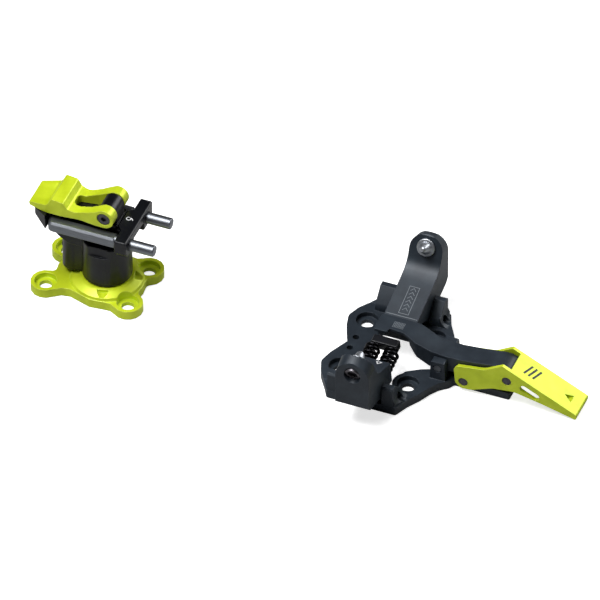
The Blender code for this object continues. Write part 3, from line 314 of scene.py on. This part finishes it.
def windCoil(name, size, axisStart, axisAlong, slot, body, node):
    along = Vector(axisAlong).normalized()
    across = along.orthogonal().normalized()
    third = along.cross(across)
    work = bmesh.new()
    count = int(size["turns"] * size["stepsPerTurn"])
    free = size["length"] - 2 * size["wire"]
    closedRise = 1.06 * 2 * size["wire"] * size["closed"]
    centres = []
    for i in range(count + 1):
        turnsSoFar = size["turns"] * i / count
        if turnsSoFar < size["closed"]:
            rise = closedRise * turnsSoFar / size["closed"]
        elif turnsSoFar > size["turns"] - size["closed"]:
            rise = free - closedRise * (size["turns"] - turnsSoFar) / size["closed"]
        else:
            part = (turnsSoFar - size["closed"]) / (size["turns"] - 2 * size["closed"])
            rise = closedRise + (free - 2 * closedRise) * part
        angle = 2 * math.pi * turnsSoFar
        spoke = across * math.cos(angle) + third * math.sin(angle)
        centres.append((Vector(axisStart) + along * (size["wire"] + rise) + spoke * size["meanRadius"], spoke))
    rings = []
    for i, (centre, spoke) in enumerate(centres):
        ahead = centres[min(i + 1, count)][0] - centres[max(i - 1, 0)][0]
        rise = ahead.normalized().cross(spoke).normalized()
        ring = []
        for k in range(size["wireSides"]):
            a = 2 * math.pi * k / size["wireSides"]
            at = centre + (spoke * math.cos(a) + rise * math.sin(a)) * size["wire"]
            ring.append(work.verts.new(at * mm))
        rings.append(ring)
    for first, second in zip(rings, rings[1:]):
        for k in range(size["wireSides"]):
            j = (k + 1) % size["wireSides"]
            work.faces.new((first[k], first[j], second[j], second[k]))
    work.faces.new(rings[0][::-1])
    work.faces.new(rings[-1])
    bmesh.ops.recalc_face_normals(work, faces=work.faces)
    mesh = bpy.data.meshes.new(name)
    work.to_mesh(mesh)
    work.free()
    mesh.shade_smooth()
    piece = newPiece(name, mesh, body, finishes[slot])
    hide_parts(node)
    return piece


lean = math.radians(toeSprings["tilt"])
for springNode, springX in toeSprings["places"]:
    seatY, seatZ = toeSprings["seat"]
    windCoil(springNode + "_coil", toeSprings, (toeX + springX, seatY, seatZ), (0, math.cos(lean), math.sin(lean)),
             "black_spring_steel", "right_toe_arm", springNode)

lateralSpring = {
    "meanRadius": 2.3,
    "wire": 0.58,
    "turns": 4.0,
    "closed": 0.6,
    "stepsPerTurn": 32,
    "wireSides": 12,
    "travel": 1.5,            # mm that the plunger pushes it back
}
coilLow, coilHigh = [Vector(corner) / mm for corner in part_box("lateral_spring")]
lateralSpring["length"] = coilHigh.x - coilLow.x
coilStart = (coilLow.x, 0, (coilLow.z + coilHigh.z) / 2)
sideCoil = windCoil("lateral_spring_coil", lateralSpring, coilStart, (1, 0, 0),
                    "black_spring_steel", "heel_turret", "lateral_spring")
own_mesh(sideCoil)
print("springs wound")


# printed and engraved marks, all plain ones: thin inlays that stand a hair proud

def printInk(name, hexColour, roughness):
    # pad-printed ink: matt, a little uneven where it thins out
    made, tree, shader = startMaterial(name)
    place = addNode(tree, "ShaderNodeTexCoord")
    speckle = addNode(tree, "ShaderNodeTexNoise", {}, {"Scale": 1 / (0.5 * mm), "Detail": 2.0},
                      {"Vector": place.outputs["Object"]})
    tone = addNode(tree, "ShaderNodeMapRange", {}, {"To Min": 0.82, "To Max": 1.0}, {"Value": speckle.outputs["Fac"]})
    ink = addNode(tree, "ShaderNodeMix", {"data_type": "RGBA", "blend_type": "MULTIPLY"}, {"Factor": 1.0})
    ink.inputs[6].default_value = linear(hexColour)
    tree.links.new(tone.outputs["Result"], ink.inputs[7])
    tree.links.new(ink.outputs[2], shader.inputs["Base Color"])
    shader.inputs["Roughness"].default_value = roughness
    return made


def strokes(name, lines, width, place, body, ink):
    # each line is a closed ribbon of even width, drawn in mm on the plane that place gives
    origin, across, up = (Vector(v) for v in place)
    across.normalize()
    up.normalize()
    normal = across.cross(up)
    work = bmesh.new()
    for line in lines:
        points = [Vector((x, y)) for x, y in line]
        shut = (points[0] - points[-1]).length < 1e-6
        if shut:
            points = points[:-1]
        rows = []
        for i, here in enumerate(points):
            before = points[i - 1] if shut or i else here
            after = points[(i + 1) % len(points)] if shut or i < len(points) - 1 else here
            into, out = (here - before), (after - here)
            into = into.normalized() if into.length else out.normalized()
            out = out.normalized() if out.length else into
            middle = (into + out).normalized()
            side = Vector((-middle.y, middle.x)) * width / 2 / max(0.5, middle.dot(out))
            corners = []
            for sign, high in ((1, markHeight), (-1, markHeight), (-1, -markSink), (1, -markSink)):
                at = here + side * sign
                corners.append(work.verts.new((origin + across * at.x + up * at.y + normal * high) * mm))
            rows.append(corners)
        pairs = list(zip(rows, rows[1:])) + ([(rows[-1], rows[0])] if shut else [])
        for first, second in pairs:
            for k in range(4):
                work.faces.new((first[k], second[k], second[(k + 1) % 4], first[(k + 1) % 4]))
        if not shut:
            work.faces.new(rows[0])
            work.faces.new(rows[-1][::-1])
    bmesh.ops.recalc_face_normals(work, faces=work.faces)
    mesh = bpy.data.meshes.new(name)
    work.to_mesh(mesh)
    work.free()
    return newPiece(name, mesh, body, ink)


def circle(centre, radius, start=0.0, end=360.0, steps=28):
    turns = [math.radians(start + (end - start) * i / steps) for i in range(steps + 1)]
    return [(centre[0] + radius * math.cos(a), centre[1] + radius * math.sin(a)) for a in turns]


def box(low, high):
    return [low, (high[0], low[1]), high, (low[0], high[1]), low]


markHeight = 0.03    # mm proud of the face
markSink = 0.1       # mm into it, so no edge floats
plateLow, plateHigh = [Vector(corner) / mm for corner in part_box("release_plate")]
whiteInk = printInk("whitePadPrint", "#E6E8EA", 0.5)
# grey ink for the engraved marks, and for the painted highlight line on the left arm
greyInk = printInk("laserEngravingAndPaintedHighlight", "#70777E", 0.55)
blackInk = printInk("blackPadPrint", "#181A14", 0.5)

# a release setting on the clip plate: a plain numeral six, read from the side of the ski
six = [circle((0.0, 1.1), 1.1), [(1.1 * math.cos(math.radians(a)) + 0.0, 1.1) for a in (180,)] +
       [(-1.1 + 0.25 * t * t, 1.1 + 0.95 * t) for t in (0.4, 0.9, 1.4, 1.9, 2.3, 2.6)]]
strokes("setting_numeral", six, 0.42, ((10.4, 0.9, plateHigh.z), (0, -1, 0), (1, 0, 0)),
        "heel_turret", whiteInk)

# the left arm's slope: a framed pair of chevrons, a painted highlight line where the arm meets the rocker bar, and a
# small grid
armSlope = Vector((0, 22.7, 6.8)).normalized()
armMark = [box((4.0, -2.6), (20.5, 2.6))]
armMark += [[(u, -1.5), (u + 1.6, 0.0), (u, 1.5)] for u in (6.0, 8.4, 10.8, 13.2, 15.6, 18.0)]
strokes("arm_chevrons", armMark, 0.3, ((toeX + 3.4, 10.8, 17.8), armSlope, (-1, 0, 0)),
        "left_toe_arm", greyInk)
# painted highlight: a pale grey line across the arm's slope, standing for the light along the step where the arm
# meets the rocker bar
strokes("arm_step_highlight", [[(2.4, -8.3), (2.4, 8.3)]], 0.35, ((toeX + 3.1, 10.8, 17.8), armSlope, (-1, 0, 0)),
        "left_toe_arm", greyInk)

# the right arm's slope: one small white triangle
rightSlope = Vector((0, -9.0, 3.6)).normalized()
strokes("arm_triangle", [[(2.0, -1.3), (5.0, 0.0), (2.0, 1.3), (2.0, -1.3)]], 0.5,
        ((toeX + 6.8, -24.5, 21.0), rightSlope, (1, 0, 0)),
        "right_toe_arm", whiteInk)

# an etched grid on the rocker bar's hub
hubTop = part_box("rocker_bar")[1][2] / mm - 0.4
grid = [box((i * 1.5, j * 1.5), (i * 1.5 + 1.0, j * 1.5 + 1.0)) for i in range(4) for j in range(3)]
strokes("hub_grid", grid, 0.22, ((toeX + 2.2, 2.6, hubTop), (1, 0, 0), (0, 1, 0)),
        "toe_rocker", greyInk)

# the lever's top: three slanted bars where such levers carry print
leverLow, leverHigh = [Vector(corner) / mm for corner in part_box("toe_lever")]
leverTop = ((toeX + 65.2, 0, 23.1), (toeX + 105.2, 0, 3.4))    # the top plate's middle line, rear to tip
leverSlope = Vector(leverTop[1]) - Vector(leverTop[0])
bars = [[(11.0 + 2.6 * i, -3.6), (13.4 + 2.6 * i, 3.6)] for i in range(3)]
strokes("lever_bars", bars, 1.1, (leverTop[0], leverSlope, (0, 1, 0)), "step_lever", blackInk)
print("marks made")


# floor, light and camera

studio = {
    "target": (93.2, 24.5, 0.0),   # mm, the spot on the floor that the camera faces
    "azimuth": 21.9,
    "elevation": 41.5,
    "distance": 8000.0,            # mm, far enough that lines along the ski stay parallel
    "viewWidth": 300.9,            # mm across the picture at the target
    "sensor": 36.0,                # mm
    "shift": (0.0035, 0.0),
    "floorSize": 6.0,              # m
    "floorBounce": 0.55,           # share of its light that the sheet throws back at the binding
    "floorGlow": 0.7,
    "horizonLight": 0.04,          # the ceiling bounce is soft and dims towards the walls
    "zenithLight": 0.8,
}


def makeStudio():
    floorMesh = bpy.data.meshes.new("floor")
    work = bmesh.new()
    bmesh.ops.create_grid(work, x_segments=2, y_segments=2, size=studio["floorSize"] / 2)
    work.to_mesh(floorMesh)
    work.free()
    floor = bpy.data.objects.new("floor", floorMesh)
    floor.location.z = -0.2 * mm
    bpy.context.scene.collection.objects.link(floor)
    paper, tree, shader = startMaterial("paperSweep")
    place = addNode(tree, "ShaderNodeTexCoord")
    fibre = addNode(tree, "ShaderNodeTexNoise", {}, {"Scale": 900.0, "Detail": 2.0}, {"Vector": place.outputs["Object"]})
    tone = addNode(tree, "ShaderNodeMapRange", {}, {"To Min": 0.8, "To Max": 0.84}, {"Value": fibre.outputs["Fac"]})
    # seen straight on the sheet glows evenly, as a light table does; it still takes a faint shadow
    sight = addNode(tree, "ShaderNodeLightPath")
    bounce = addNode(tree, "ShaderNodeMapRange", {}, {"To Min": studio["floorBounce"], "To Max": 1.0},
                     {"Value": sight.outputs["Is Camera Ray"]})
    shade = addNode(tree, "ShaderNodeMath", {"operation": "MULTIPLY"}, {},
                    {0: tone.outputs["Result"], 1: bounce.outputs["Result"]})
    tree.links.new(shade.outputs[0], shader.inputs["Base Color"])
    tree.links.new(sight.outputs["Is Camera Ray"], shader.inputs["Emission Strength"])
    shader.inputs["Emission Color"].default_value = (studio["floorGlow"],) * 3 + (1.0,)
    shader.inputs["Roughness"].default_value = 0.9
    floorMesh.materials.append(paper)

    world = bpy.data.worlds.new("studioAir")
    world.use_nodes = True
    sky = world.node_tree
    facing = addNode(sky, "ShaderNodeTexCoord")
    height = addNode(sky, "ShaderNodeSeparateXYZ", {}, {}, {0: facing.outputs["Generated"]})
    glow = addNode(sky, "ShaderNodeMapRange", {}, {"To Min": studio["horizonLight"], "To Max": studio["zenithLight"]},
                   {"Value": height.outputs["Z"]})
    sky.links.new(glow.outputs["Result"], sky.nodes["Background"].inputs["Strength"])
    bpy.context.scene.world = world

    target = Vector(studio["target"]) * mm
    for name, place, size, power in (
            ("keyPanel", (-300, -250, 900), 0.5, 12.0),
            ("rimPanel", (450, 600, 500), 0.5, 4.0)):
        lamp = bpy.data.lights.new(name, "AREA")
        lamp.size = size
        lamp.energy = power
        holder = bpy.data.objects.new(name, lamp)
        holder.location = target + Vector(place) * mm
        aim = target - holder.location
        holder.rotation_euler = aim.to_track_quat("-Z", "Y").to_euler()
        bpy.context.scene.collection.objects.link(holder)

    azimuth = math.radians(studio["azimuth"])
    elevation = math.radians(studio["elevation"])
    back = Vector((math.sin(azimuth) * math.cos(elevation),
                   -math.cos(azimuth) * math.cos(elevation), math.sin(elevation)))
    lens = bpy.data.cameras.new("camera")
    lens.sensor_width = studio["sensor"]
    lens.lens = studio["sensor"] * studio["distance"] / studio["viewWidth"]
    lens.shift_x, lens.shift_y = studio["shift"]
    lens.clip_start = 0.01
    camera = bpy.data.objects.new("camera", lens)
    camera.location = target + back * studio["distance"] * mm
    camera.rotation_euler = (-back).to_track_quat("-Z", "Y").to_euler()
    bpy.context.scene.collection.objects.link(camera)
    bpy.context.scene.camera = camera
    bpy.context.scene.view_settings.view_transform = "Standard"


makeStudio()
print("studio set")
